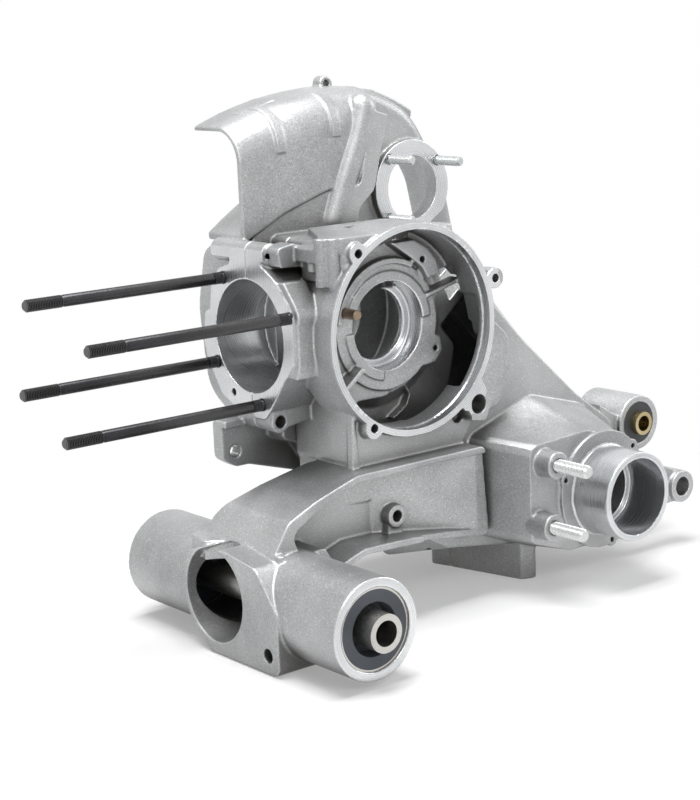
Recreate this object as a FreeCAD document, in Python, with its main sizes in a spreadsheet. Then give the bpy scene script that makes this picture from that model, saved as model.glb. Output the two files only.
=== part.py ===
import FreeCAD, Part
import math
import os
import re
import Sketcher
from FreeCAD import Placement, Rotation, Vector

# Two-half engine crankcase with an integral swing arm.
# The origin is the crank axis at the clutch cover face. +X points to the rear,
# +Y to the flywheel side and +Z up. The cylinder axis runs along -X.

doc = FreeCAD.newDocument("EngineCrankcase")
sheet = doc.addObject("Spreadsheet::Sheet", "Sizes")

DIMENSIONS = [
    ("wall", 4.5, "casting wall"),
    ("split_y", 60.5, "clutch cover face to the joint of the halves"),
    ("case_front", 44, "front wall of the crank box, ahead of the crank axis"),
    ("case_low", 76, "underside of the crank box"),
    ("case_near", 8, "side wall of the crank box behind the cover face"),
    ("clutch_r", 57.6, "clutch opening radius"),
    ("clutch_rim", 4.0, "width of the clutch cover face"),
    ("clutch_register", 6, "depth of the cover register"),
    ("clutch_depth", 27, "depth of the clutch chamber floor"),
    ("cover_lobe_r", 6.2, "lobe round a cover screw"),
    ("cover_screw_r", 2.6, "cover screw hole radius"),
    ("cover_pitch_r", 62.2, "cover screws from the crank axis"),
    ("crank_r", 48, "crank chamber radius"),
    ("crank_near", 40, "near wall of the crank chamber"),
    ("crank_far", 83, "far wall of the crank chamber"),
    ("bearing_r", 26, "main bearing seat radius"),
    ("bearing_pass_r", 21, "opening behind a main bearing"),
    ("lip_y", 23.4, "face of the bearing lip"),
    ("lip_r", 32, "outer radius of the bearing lip"),
    ("boss_r", 38, "radius of the bearing boss"),
    ("lip_low", 26, "lowered part of the bearing lip"),
    ("mouth_x", 73.7, "cylinder face ahead of the crank axis"),
    ("spigot_r", 33, "cylinder spigot bore radius"),
    ("stud_r", 3.5, "cylinder stud radius"),
    ("stud_reach", 130, "cylinder stud beyond the cylinder face"),
    ("stud_grip", 16, "cylinder stud screwed into the case"),
    ("case_bolt_r", 3.6, "case bolt hole radius"),
    ("bolt_boss_r", 6.5, "case bolt boss radius"),
    ("dowel_r", 4.8, "joint dowel radius"),
    ("dowel_length", 12, "joint dowel length"),
    ("gear_far", 98, "far wall of the gearbox"),
    ("gear_floor", 88, "floor of the gearbox hollow in the far half"),
    ("tube_x", 97.9, "pivot tube axis ahead of the crank axis"),
    ("tube_z", 137.5, "pivot tube axis below the crank axis"),
    ("tube_r", 28.3, "pivot tube outer radius"),
    ("tube_bore_r", 23, "pivot tube bore radius"),
    ("tube_near", 75.5, "near end of the pivot tube"),
    ("tube_length", 198, "pivot tube length"),
    ("bush_length", 36, "pivot bush length"),
    ("bush_shell", 1.2, "wall of the bush outer sleeve"),
    ("bush_inset", 1.5, "rubber behind the end of the tube"),
    ("bush_hollow_r", 15, "ring hollow in the rubber"),
    ("sleeve_r", 10.6, "bush inner sleeve radius"),
    ("sleeve_bore_r", 7.1, "pivot bolt bore radius"),
    ("sleeve_proud", 8.2, "inner sleeve beyond the tube end"),
    ("window_r", 27, "round window in the pivot tube"),
    ("window_y", 31, "centre of the window across the case"),
    ("rest_z", 170, "resting plane below the crank axis"),
    ("hub_x", 123.1, "wheel axle behind the crank axis"),
    ("hub_z", 112.4, "wheel axle below the crank axis"),
    ("hub_r", 27.2, "hub spigot outer radius"),
    ("hub_seat_r", 23.5, "hub seal and bearing seat radius"),
    ("hub_pass_r", 20, "opening behind the hub bearing"),
    ("hub_near", 56, "hub face beyond the cover face"),
    ("hub_rim_near", 28, "hub rim beyond the cover face"),
    ("hub_rim_r", 36.5, "hub rim radius"),
    ("hub_lug_pitch", 34.2, "small rim lugs from the axle"),
    ("brake_near", 26, "brake face beyond the cover face"),
    ("brake_boss_r", 8.3, "brake stud boss radius"),
    ("brake_boss_height", 13, "brake stud boss height"),
    ("brake_stud_r", 4, "brake stud radius"),
    ("brake_stud_reach", 24.5, "brake stud beyond its boss"),
    ("brake_stud_grip", 14, "brake stud screwed into the case"),
    ("eye_x", 200.7, "shock eye behind the crank axis"),
    ("eye_z", 90.5, "shock eye below the crank axis"),
    ("eye_r", 18, "shock eye outer radius"),
    ("eye_near", 15, "near face of the shock eye"),
    ("eye_length", 40, "shock eye length"),
    ("eye_bore_r", 13.6, "shock eye bore radius"),
    ("eye_sleeve_r", 7.6, "shock sleeve radius"),
    ("eye_bolt_r", 5.1, "shock bolt bore radius"),
    ("eye_sleeve_proud", 4.2, "shock sleeve beyond the eye"),
    ("exhaust_x", 212.5, "silencer lug behind the crank axis"),
    ("exhaust_z", 131, "silencer lug below the crank axis"),
    ("exhaust_r", 10.5, "silencer lug radius"),
    ("exhaust_bore_r", 6.2, "silencer lug hole radius"),
    ("inlet_top", 57.5, "inlet pad above the crank axis"),
    ("fan_wall_y", 88, "near wall of the fan housing"),
    ("fan_far", 125, "open edge of the fan housing"),
    ("fan_wall", 3.6, "wall of the fan housing"),
    ("duct_wall_y", 73, "near wall of the air duct"),
    ("duct_round", 22, "rounding between duct walls"),
    ("duct_front", 65, "mouth of the air duct ahead of the crank axis"),
    ("fan_hub_r", 77, "inner ring of the fan housing"),
    ("starter_x", 71.7, "starter axis behind the crank axis"),
    ("starter_z", 71, "starter axis above the crank axis"),
    ("starter_r", 29.5, "starter flange radius"),
    ("starter_hole_r", 19.7, "starter hole radius"),
    ("starter_near", 83, "starter flange face"),
    ("starter_stud_pitch", 25.8, "starter studs from the starter axis"),
    ("starter_stud_r", 3, "starter stud radius"),
    ("starter_stud_reach", 22, "starter stud beyond the flange"),
    ("starter_stud_grip", 9, "starter stud screwed into the flange"),
    ("pin_r", 3, "locating pin radius"),
    ("pin_length", 22, "locating pin length"),
    ("pin_tip_y", 11, "tip of the locating pin"),
]

for row, (alias, value, meaning) in enumerate(DIMENSIONS, start=1):
    sheet.set("A%d" % row, alias)
    sheet.set("B%d" % row, str(value))
    sheet.set("C%d" % row, meaning)
    sheet.setAlias("B%d" % row, alias)
doc.recompute()

ALIASES = [alias for alias, value, meaning in DIMENSIONS]


def size(alias):
    return float(sheet.get(alias))


def bound(words):
    """An expression in which each dimension's name points to its cell."""
    return re.sub(r"[a-z_]+[a-z]", lambda m: "Sizes." + m.group() if m.group() in ALIASES else m.group(), str(words))


def worth(words):
    """The value of an expression of dimension names."""
    return sum_terms(re.sub(r"\s", "", str(words)))


def sum_terms(words):
    total = 0.0
    for sign, term in re.findall(r"([+-]?)([^+-]+)", words):
        product = 1.0
        for factor in term.split("*"):
            product *= size(factor) if factor in ALIASES else float(factor)
        total += -product if sign == "-" else product
    return total


AXES = {
    "+X": Rotation(Vector(0, 1, 0), 90),
    "-X": Rotation(Vector(0, 1, 0), -90),
    "+Y": Rotation(Vector(1, 0, 0), -90),
    "+Z": Rotation(),
}
DIRECTIONS = {"X": Vector(1, 0, 0), "Y": Vector(0, 1, 0), "Z": Vector(0, 0, 1)}
PLANES = {
    "Y": Rotation(Vector(1, 0, 0), 90),
    "X": Rotation(Vector(1, 1, 1), 120),
    "Z": Rotation(),
}


def place(item, at):
    for letter, words in zip("xyz", at):
        item.setExpression("Placement.Base." + letter, bound(words))
    return item


def cylinder(name, radius, length, at, toward="+Y"):
    item = doc.addObject("Part::Cylinder", name)
    item.Placement = Placement(Vector(), AXES[toward])
    item.setExpression("Radius", bound(radius))
    item.setExpression("Height", bound(length))
    return place(item, at)


def cone(name, radius, end_radius, length, at, toward="+Y"):
    item = doc.addObject("Part::Cone", name)
    item.Placement = Placement(Vector(), AXES[toward])
    item.setExpression("Radius1", bound(radius))
    item.setExpression("Radius2", bound(end_radius))
    item.setExpression("Height", bound(length))
    return place(item, at)


def box(name, low, spans):
    item = doc.addObject("Part::Box", name)
    for side, words in zip(("Length", "Width", "Height"), spans):
        item.setExpression(side, bound(words))
    return place(item, low)


def rounded_edges(points, flats=False):
    """Lines and tangent arcs, or two flats for each arc, of a closed outline of (across, up, corner radius)."""
    corners = [Vector(a, b, 0) for a, b, r in points]
    ends = []
    for i, (a, b, r) in enumerate(points):
        here = corners[i]
        back = (corners[i - 1] - here).normalize()
        ahead = (corners[(i + 1) % len(points)] - here).normalize()
        half = back.getAngle(ahead) / 2
        if r == 0:
            ends.append((here, None, here))
            continue
        reach = r / math.tan(half)
        inward = (back + ahead).normalize()
        middle = here + inward * (r / math.sin(half) - r)
        ends.append((here + back * reach, middle, here + ahead * reach))
    edges = []
    for i, (start, middle, end) in enumerate(ends):
        if middle is not None and flats:
            edges += [Part.LineSegment(start, middle), Part.LineSegment(middle, end)]
        elif middle is not None:
            edges.append(Part.Arc(start, middle, end))
        edges.append(Part.LineSegment(end, ends[(i + 1) % len(ends)][0]))
    return edges


def outline(name, points, plane, offset, flats=False):
    """A closed sketch on the plane across an axis, at an offset along it."""
    sketch = doc.addObject("Sketcher::SketchObject", name)
    sketch.Placement = Placement(Vector(), PLANES[plane])
    sketch.setExpression("Placement.Base." + plane.lower(), bound(offset))
    sketch.addGeometry(rounded_edges(points, flats), False)
    return sketch


def prism(name, points, plane, start, length):
    """An outline pushed along the axis that its plane is across."""
    item = doc.addObject("Part::Extrusion", name)
    item.Base = outline(name + "_outline", points, plane, start)
    item.DirMode = "Custom"
    item.Dir = DIRECTIONS[plane]
    item.setExpression("LengthFwd", bound(length))
    item.Solid = True
    return item


def loft(name, plane, sections, flats=True):
    """A ruled body through outlines with as many corners each."""
    item = doc.addObject("Part::Loft", name)
    item.Sections = [
        outline("%s_outline_%d" % (name, i), points, plane, offset, flats)
        for i, (offset, points) in enumerate(sections)
    ]
    item.Solid = True
    item.Ruled = True
    return item


def fuse(name, items):
    item = doc.addObject("Part::MultiFuse", name)
    item.Shapes = items
    item.Refine = True
    return item


def cut(name, base, tool):
    item = doc.addObject("Part::Cut", name)
    item.Base = base
    item.Tool = tool
    item.Refine = True
    return item


def turned(label, profile, at, toward="+Y"):
    """A lathe part: a profile of (radius, along) corners round its own axis."""
    body = doc.addObject("PartDesign::Body", label + "_body")
    body.Label = label
    sketch = body.newObject("Sketcher::SketchObject", label + "_profile")
    plane = [f for f in body.Origin.OriginFeatures if f.Role == "XZ_Plane"][0]
    sketch.AttachmentSupport = (plane, [""])
    sketch.MapMode = "FlatFace"
    corners = [Vector(worth(r), worth(a), 0) for r, a in profile]
    count = len(corners)
    for i in range(count):
        sketch.addGeometry(Part.LineSegment(corners[i], corners[(i + 1) % count]), False)
    for i in range(count):
        sketch.addConstraint(Sketcher.Constraint("Coincident", i, 2, (i + 1) % count, 1))
    for i, (radius, along) in enumerate(profile):
        bind(sketch, i, "DistanceX", -2, radius)
        bind(sketch, i, "DistanceY", -1, along)
    turn = body.newObject("PartDesign::Revolution", label + "_turn")
    turn.Profile = sketch
    turn.ReferenceAxis = (sketch, ["V_Axis"])
    turn.Angle = 360
    body.Tip = turn
    body.Placement = Placement(Vector(), AXES[toward])
    return place(body, at)


def bind(sketch, line, kind, axis, words):
    """Hold a corner on an axis, or at a bound distance from the origin."""
    if abs(worth(words)) < 1e-9:
        sketch.addConstraint(Sketcher.Constraint("PointOnObject", line, 1, axis))
        return
    index = sketch.addConstraint(Sketcher.Constraint(kind, -1, 1, line, 1, worth(words)))
    sketch.setExpression("Constraints[%d]" % index, bound(words))


def circle_points(radius, count, start):
    """Places on a circle, each as (across, up)."""
    turns = [math.radians(start + 360.0 * i / count) for i in range(count)]
    return [(radius * math.cos(t), radius * math.sin(t)) for t in turns]


# Places that more than one piece shares

COVER_SCREWS = [(-39.6, 48.2), (62.9, 22.4), (-32.8, -52.1)]
STUD_PLACES = [(83.8, 32), (21.8, 14.3), (51.2, -38.8), (94, -18.6)]
BRAKE_STUDS = [(73.8, -87.0), (69.8, -124.2)]
STARTER_STUDS = [
    (size("starter_stud_pitch") * math.cos(math.radians(turn)), size("starter_stud_pitch") * math.sin(math.radians(turn)))
    for turn in (35.5, 133.5, 223)
]
CASE_BOLTS = [(-67.5, 47.5), (-66, -49)]
DOWELS = [(-66, -49), (172, -130)]
HUB_LUGS = circle_points(size("hub_lug_pitch"), 3, 41)
PIN_PLACE = (-32.7, 11.7)

front = -size("case_front")
low = -size("case_low")

# Half of the cylinder face nearer the clutch cover, and the other half
MOUTH_NEAR = [(60.5, 48.5, 0), (51.5, 49, 2), (46.8, 47, 2), (46.8, 42, 3), (35, 35.2, 10), (22, 20.8, 6), (18, 15, 4),
              (18.5, -11, 5), (27.4, -21.2, 6), (42.4, -40.7, 6), (48.5, -47, 4), (60.5, -47, 0)]
MOUTH_FAR = [(60.5, 48.5, 0), (60.5, -45, 0), (80, -42.5, 8), (91, -37.5, 8), (104.5, -16.5, 14), (106.8, -6.7, 10),
             (104, 10.5, 2), (98.9, 12, 2), (96.5, 26, 8), (90, 35, 3), (88, 37.2, 2), (77.7, 40.3, 2), (74, 47, 3)]
GEARBOX_NEAR = [(-20, -74, 4), (2, -122, 8), (30, -138, 6), (105, -150, 8), (158, -146, 16), (174, -116, 10),
                (172, -84, 8), (140, -61, 8), (96, -21, 8), (66, 10, 8)]
GEARBOX_SPLIT = [(-42, -68, 4), (-12, -118, 8), (22, -151, 6), (105, -158, 8), (164, -152, 16), (190, -120, 10),
                 (190, -86, 8), (166, -57, 8), (126, -17, 8), (90, 30, 8)]
GEARBOX_FAR = [(-40, -60, 4), (0, -108, 8), (30, -140, 6), (100, -148, 8), (152, -142, 16), (180, -112, 10),
               (178, -84, 8), (152, -52, 8), (118, -18, 8), (84, 24, 8)]


def inset(points, depth):
    """The same corners moved toward the middle, for a hollow inside."""
    middle_a = sum(a for a, b, r in points) / len(points)
    middle_b = sum(b for a, b, r in points) / len(points)
    moved = []
    for a, b, r in points:
        reach = math.hypot(a - middle_a, b - middle_b)
        share = (reach - depth * 1.25) / reach
        moved.append((middle_a + (a - middle_a) * share, middle_b + (b - middle_b) * share, r * 0.5))
    return moved


def clutch_housing():
    """The round clutch chamber, its screw lobes and the crank box behind it."""
    solids = [
        cylinder("clutch_ring", "clutch_r + clutch_rim", "clutch_depth + 6", (0, 0, 0)),
        prism("crank_box", [(front, size("inlet_top") - 4, 4), (front, low, 4), (40, low, 4), (64, -40, 10),
                            (60, 8, 10), (46, 38, 10), (28, size("inlet_top") - 4, 4)],
              "Y", "case_near", "split_y - case_near"),
        prism("gear_collar", [(50, 0, 0), (64, -2, 4), (77, -14, 10), (79, -34, 12), (68, -56, 8), (46, -60, 0)],
              "Y", "case_near - 3", "16"),
        prism("drain_lobe", [(34, -50, 0), (41, -60, 3), (53, -62, 3), (58, -50, 7), (50, -36, 0)],
              "Y", "0", "18"),
    ]
    for i, (x, z) in enumerate(COVER_SCREWS):
        solids.append(cylinder("cover_lobe_%d" % i, "cover_lobe_r", "10", (x, 0, z)))
    return solids


def clutch_hollows():
    """Clutch chamber with its open sector, crank chamber half and screw holes."""
    floor_gap = [(26, 24, 0), (40, 27, 3), (50, 29, 0), (76, 4, 10), (72, -40, 10), (30, -66, 8), (-24, -58, 6),
                 (-24, -42, 3), (0, -42, 5), (10, -30, 0), (30, -10, 0)]
    wall_gap = [(40, 12, 0), (57, 13, 2), (59.6, 2, 4), (62, -12, 6), (71, -20, 6), (73, -34, 10), (62, -48, 6),
                (40, -46, 0)]
    top_pocket = [(-6, 48.5, 0), (19, 46.5, 0), (20, 56, 2), (-8, 57, 2)]
    hollows = [
        cylinder("clutch_register_bore", "clutch_r", "clutch_register + 1", (0, -1, 0)),
        cylinder("clutch_chamber", "clutch_r - 0.8", "clutch_depth + 1", (0, -1, 0)),
        prism("floor_gap", floor_gap, "Y", "clutch_depth - 4", "16"),
        prism("wall_gap", wall_gap, "Y", "9.5", "16"),
        prism("top_pocket", top_pocket, "Y", "19", "20"),
        cylinder("lobe_notch", "4", "14", (37.3, -1, -57.6)),
    ]
    for i, (x, z) in enumerate(COVER_SCREWS):
        hollows.append(cylinder("cover_screw_%d" % i, "cover_screw_r", "16", (x, -1, z)))
    return hollows


def ring_part(name, outer, inner, start, length, turns):
    """Part of a ring round the crank axis, between two angles."""
    whole = cut(name + "_ring", cylinder(name + "_outer", outer, length, (0, start, 0)),
                cylinder(name + "_inner", inner, length + " + 2", (0, start + " - 1", 0)))
    low_turn, high_turn = turns
    rays = [math.radians(low_turn + (high_turn - low_turn) * i / 3) for i in range(4)]
    corners = [(0, 0, 0)] + [(110 * math.cos(t), 110 * math.sin(t), 0) for t in rays]
    item = doc.addObject("Part::Common", name)
    item.Base = whole
    item.Tool = prism(name + "_sector", corners, "Y", start, length)
    return item


def bearing_boss():
    """Boss round the near main bearing, its broken lip, ribs, pad and screw lug."""
    solids = [
        cylinder("boss", "boss_r", "crank_near - clutch_depth + 2", (0, "clutch_depth - 2", 0)),
        cylinder("lip", "lip_r", "crank_near - lip_low", (0, "lip_low", 0)),
        cylinder("drain_boss", "8.6", "20", (47.1, 1, -50.9)),
        ring_part("boss_ring", "39.6", "36.4", "21.6", "8", (62, 172)),
        prism("boss_rib_high", [(29, 15.5, 0), (30, 13, 0), (56, 19.5, 0), (55.5, 22, 0)], "Y", "22.5", "10"),
        prism("boss_rib_low", [(-26, -20, 0), (-23, -22, 0), (-44, -38, 0), (-46, -36, 0)], "Y", "17", "14"),
        prism("floor_pad", [(0.5, 48.4, 0), (18.5, 48.5, 2), (28, 43, 4), (34.5, 36, 4), (38, 26.5, 1), (28, 25, 1),
                            (24, 32, 8), (15.5, 38.5, 8)], "Y", "20", "10"),
        prism("boss_lug", [(32, -8, 0), (40.5, -12, 2), (42, -20, 2), (36, -27, 2), (26, -28, 0)], "Y", "25", "10"),
    ]
    for i, turns in enumerate([(4, 123), (125, 160), (183, 200), (202, 261)]):
        solids.append(ring_part("lip_part_%d" % i, "lip_r", "bearing_r", "lip_y", "crank_near - lip_y", turns))
    return fuse("bearing_boss", solids)


def clutch_floor_holes():
    """Hole of the drain boss and the threaded holes in the pad and the lug."""
    return [
        cylinder("drain_hole", "5.8", "26", (47.1, -1, -50.9)),
        cylinder("pad_hole", "1.9", "8", (24.3, 19, 36.5)),
        cylinder("boss_lug_hole", "1.7", "8", (36.5, 24, -18.5)),
    ]


def bearing_bores():
    return [
        cylinder("crank_hollow", "crank_r", "split_y - crank_near + 1", (0, "crank_near", 0)),
        cylinder("bearing_seat", "bearing_r", "crank_near - 5", (0, 1, 0)),
        cylinder("bearing_pass", "bearing_pass_r", "split_y - 1", (0, 1, 0)),
    ]


def cylinder_face(side, points):
    """Half of the block that carries the cylinder, with its stud columns."""
    block = prism("mouth_block_" + side, points, "X", "-mouth_x", "mouth_x - 36")
    return [block]


def stud_holes(side):
    """Holes for the cylinder studs that this half carries."""
    near = side == "near"
    holes = []
    for i, (y, z) in enumerate(STUD_PLACES):
        if (y < size("split_y")) == near:
            holes.append(cylinder("stud_hole_%s_%d" % (side, i), "stud_r", "stud_grip + 1",
                                  ("-mouth_x - 1", y, z), "+X"))
    return holes


def case_bolts(side):
    """Bosses and holes for the bolts that pull the halves together."""
    start = "split_y - 16.5" if side == "near" else "split_y"
    bosses = [cylinder("bolt_boss_%s_%d" % (side, i), "bolt_boss_r", "16.5", (x, start, z))
              for i, (x, z) in enumerate(CASE_BOLTS)]
    web = [(-66, -54, 0), (-40, -50, 0), (-40, -36, 0), (-46, -35, 2), (-70, -32, 3), (-72, -45, 0)]
    bosses.append(prism("bolt_web_" + side, web, "Y", start, "16.5"))
    rear_x, rear_z = DOWELS[1]
    bosses.append(cylinder("dowel_boss_" + side, "dowel_r + 3.4", "16.5", (rear_x, start, rear_z)))
    holes = [cylinder("bolt_hole_%s_%d" % (side, i), "case_bolt_r", "40", (x, "split_y - 20", z))
             for i, (x, z) in enumerate(CASE_BOLTS)]
    return bosses, holes


def swing_arm():
    """Channel-shaped arm from the gearbox to the pivot tube."""
    arm = prism("arm", [(-118, -122, 0), (-112, -110, 3), (-101, -93, 12), (-80, -84, 30), (-50, -75, 30), (46, -75, 4),
                        (50, -131, 4), (0, -124, 40), (-50, -122, 30), (-74, -134, 10), (-98, -150, 0)],
                "Y", "-6", "split_y + 6")
    bevel = prism("arm_bevel", [(30, -60, 0), (70, -60, 0), (70, -100, 0), (60.5, -100, 0)], "X", "-130", "88")
    pocket = prism("arm_pocket", [(-98, -100, 6), (-80, -90, 20), (-52, -81, 0), (-45, -81, 0), (-41, -98, 3),
                                  (-26, -99, 4), (-4, -94, 8), (-2, -112, 8), (-12, -119.5, 3), (-46, -118, 10),
                                  (-68, -125, 6), (-76, -112, 3), (-94, -112, 2)], "Y", "-7", "25")
    face_cut = prism("arm_face_cut", [(-4, -79.5, 2), (52, -79.5, 2), (52, -140, 0), (-4, -140, 0)], "Y", "-7", "4")
    return cut("arm_channel", arm, fuse("arm_cuts", [bevel, pocket, face_cut]))


def pivot_tube():
    """Tube across the front for the pivot bolt, with the window's flat boss."""
    tube = cylinder("tube", "tube_r", "tube_length", ("-tube_x", "-tube_near", "-tube_z"))
    boss = prism("window_boss", [(-28, -134.5, 6), (-28, -169.5, 6), (36, -170, 4), (60, -150, 24), (60, -112, 20),
                                 (20, -108, 14), (-10, -112, 10)], "X", "-tube_x - tube_r - 1.5", "tube_r + 2")
    return [tube, boss]


def tube_hollows():
    bore = cylinder("tube_bore", "tube_bore_r", "tube_length + 2", ("-tube_x", "-tube_near - 1", "-tube_z"))
    window = cylinder("tube_window", "window_r", "tube_r + 6",
                      ("-tube_x - tube_r - 4", "window_y", "-tube_z + 2"), "+X")
    lug_hole = cylinder("tube_lug_hole", "4", "12", ("-tube_x - tube_r - 4", -18, -159), "+X")
    return [bore, window, lug_hole]


def hub_tower():
    """Bearing tower for the wheel axle, with its rim and brake stud bosses."""
    tower = loft("tower", "Y", [
        ("-brake_near", [(63, -76, 6), (63, -135, 6), (96, -146, 10), (140, -146, 16), (158, -112, 16), (140, -80, 16),
                         (110, -74, 10)]),
        ("case_near + 14", [(44, -72, 6), (44, -131, 6), (96, -152, 10), (150, -150, 16), (172, -112, 16),
                            (150, -66, 16), (96, -50, 10)]),
    ])
    solids = [
        tower,
        cylinder("hub_spigot", "hub_r", "hub_near + case_near", ("hub_x", "-hub_near", "-hub_z")),
        cylinder("hub_rim", "hub_rim_r", "hub_rim_near", ("hub_x", "-hub_rim_near", "-hub_z")),
    ]
    for i, (x, z) in enumerate(HUB_LUGS):
        solids.append(cylinder("hub_lug_%d" % i, "4.2", "hub_rim_near",
                               ("hub_x + %g" % x, "-hub_rim_near", "-hub_z + %g" % z)))
    for i, (x, z) in enumerate(BRAKE_STUDS):
        solids.append(cylinder("brake_boss_%d" % i, "brake_boss_r", "brake_boss_height + 6",
                               (x, "-brake_near - brake_boss_height", z)))
    return solids


def hub_hollows():
    hollows = [
        cylinder("hub_seat", "hub_seat_r", "30", ("hub_x", "-hub_near - 1", "-hub_z")),
        cylinder("hub_pass", "hub_pass_r", "hub_near + split_y + 2", ("hub_x", "-hub_near - 1", "-hub_z")),
    ]
    for i, (x, z) in enumerate(HUB_LUGS):
        hollows.append(cylinder("hub_lug_hole_%d" % i, "1.5", "9",
                                ("hub_x + %g" % x, "-hub_rim_near - 1", "-hub_z + %g" % z)))
    for i, (x, z) in enumerate(BRAKE_STUDS):
        hollows.append(cylinder("brake_hole_%d" % i, "brake_stud_r", "brake_stud_grip + 1",
                                (x, "-brake_near - brake_boss_height - 1", z)))
    return hollows


def rear_lugs():
    """Shock eye and silencer lug with the webs that carry them."""
    eye = cylinder("eye", "eye_r", "eye_length", ("eye_x", "eye_near", "-eye_z"))
    web = prism("eye_web", [(168, -74, 0), (184, -84, 2), (196, -100, 0), (196, -108, 0), (168, -124, 0)],
                "Y", "eye_near + 3", "eye_length - 6")
    web_window = prism("eye_window", [(172, -91, 3), (182, -93, 3), (184, -104, 3), (172, -108, 3)],
                       "Y", "eye_near - 5", "20")
    lug = cylinder("silencer_lug", "exhaust_r", "18", ("exhaust_x", -12, "-exhaust_z"))
    arm = prism("silencer_arm", [(160, -98, 4), (212, -121, 0), (208, -141, 0), (150, -144, 4)], "Y", "-8", "14")
    return [eye, web, lug, arm], [web_window]


def rear_lug_hollows():
    return [
        cylinder("eye_bore", "eye_bore_r", "eye_length + 2", ("eye_x", "eye_near - 1", "-eye_z")),
        cylinder("silencer_bore", "exhaust_bore_r", "20", ("exhaust_x", -13, "-exhaust_z")),
    ]


def inlet_pad():
    """Flat pad on top for the carburettor, with its columns and the block beside them."""
    pad = prism("inlet_slab", [(-60, 11.5, 1), (-49, 24, 2), (-36, 46, 3), (-28, 60.5, 0), (26, 60.5, 0), (36, 2, 6),
                               (-48, 4, 3)], "Z", "inlet_top - 8", "8")
    columns = [cylinder("inlet_column_%d" % i, radius, "27", (x, y, "inlet_top - 27"), "+Z")
               for i, (x, y, radius) in enumerate([(-56.2, 12.6, "3.6"), (-51, 8.8, "4.2"), (-45, 7, "3.4")])]
    return [pad] + columns + [
        box("inlet_core", (-55, 9, "inlet_top - 25"), ("14", "24", "20")),
        box("inlet_block", (-60, 12, "inlet_top - 13.5"), ("20", "21", "8")),
        cylinder("inlet_nub", "3.2", "7", (-56, 20.5, "inlet_top - 19"), "+Z"),
        prism("inlet_bridge", [(-70, 41, 2), (-72, 52, 3), (-60, 54, 3), (-44, 50, 0), (-44, 40, 0)], "Y", "32", "14"),
    ]


def clutch_side_case():
    bosses, bolt_holes = case_bolts("near")
    eyes, windows = rear_lugs()
    gearbox = loft("gearbox_near", "Y", [("case_near + 4", GEARBOX_NEAR), ("split_y", GEARBOX_SPLIT)])
    gear_hollow = loft("gear_hollow_near", "Y", [("case_near + 12", inset(GEARBOX_NEAR, size("wall") + 2)),
                                                 ("split_y + 1", inset(GEARBOX_SPLIT, size("wall")))])
    chamber_wall = [(0, -30, 0), (40, 6, 0), (47, -2, 4), (63, -22, 6), (61, -32, 6), (57, -46, 4), (52, -60, 4),
                    (20, -70, 0), (-24, -66, 0)]
    shell = fuse("crank_shell", [
        cone("crank_shell_end", "boss_r + 4", "crank_r + wall", "8.5", (0, "crank_near - 8.5", 0)),
        cylinder("crank_shell_wall", "crank_r + wall", "split_y - crank_near", (0, "crank_near", 0)),
        prism("chamber_wall", chamber_wall, "Y", "crank_near - 2", "split_y - crank_near + 2"),
    ])
    foot = prism("rear_foot", [(74, 60.5, 0), (86, 8, 3), (96, 4, 3), (99, 12, 3), (88, 60.5, 0)],
                 "Z", "-rest_z", "40")
    ridge = prism("front_rib", [(-44, -45, 0), (-42, -44, 0), (-40, -74, 0), (-45, -76, 0)], "Y", "6", "5")
    outer = fuse("clutch_outer", clutch_housing() + [gearbox, swing_arm(), foot, ridge] + pivot_tube() + hub_tower()
                 + eyes + inlet_pad() + cylinder_face("near", MOUTH_NEAR) + bosses)
    hollow = fuse("clutch_hollow", clutch_hollows() + [gear_hollow])
    opened = cut("clutch_opened", outer, hollow)
    lined = fuse("clutch_lined", [opened, shell, bearing_boss()])
    spigot = cylinder("spigot_near", "spigot_r", "mouth_x - 37", ("-mouth_x - 1", "split_y", 0), "+X")
    port = prism("inlet_port", [(-14, 34, 5), (17, 34, 5), (17, 50, 5), (-14, 50, 5)], "Z", "20", "inlet_top - 19")
    arm_lug_hole = cylinder("arm_bolt_hole", "case_bolt_r", "60", (-12, 5, -109))
    low_lug_hole = cylinder("low_bolt_hole", "case_bolt_r", "40", (30, 25, -140))
    passes = fuse("clutch_passes", [spigot, port, arm_lug_hole, low_lug_hole] + windows + tube_hollows()
                  + hub_hollows() + rear_lug_hollows() + stud_holes("near") + bolt_holes + dowel_holes("near")
                  + bearing_bores() + clutch_floor_holes() + [pin_hole()])
    return cut("clutch_case", lined, passes)


def pin_hole():
    return cylinder("pin_hole", "pin_r", "pin_length + 1", (PIN_PLACE[0], "pin_tip_y", PIN_PLACE[1]))


def dowel_holes(side):
    """Half of each dowel's seat on either side of the joint."""
    start = "split_y - dowel_length*0.5" if side == "near" else "split_y - 1"
    length = "dowel_length*0.5 + 1"
    return [cylinder("dowel_seat_%s_%d" % (side, i), "dowel_r", length, (x, start, z))
            for i, (x, z) in enumerate(DOWELS)]


DUCT = [(-65, 51, 0), (-65, 140, 0), (40, 141, 12), (36, 120, 4), (25.5, 77, 4), (0, 77, 40), (-34, 66, 40)]
FAN = [(-10, 60, 0), (10, 132, 0), (48, 133, 50), (79, 118, 50), (105, 74, 70), (115, 28, 60), (110, -30, 50),
       (84, -66, 30), (-40, -66, 30), (-60, -40, 40), (-64, 10, 40), (-58, 44, 10)]


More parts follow.
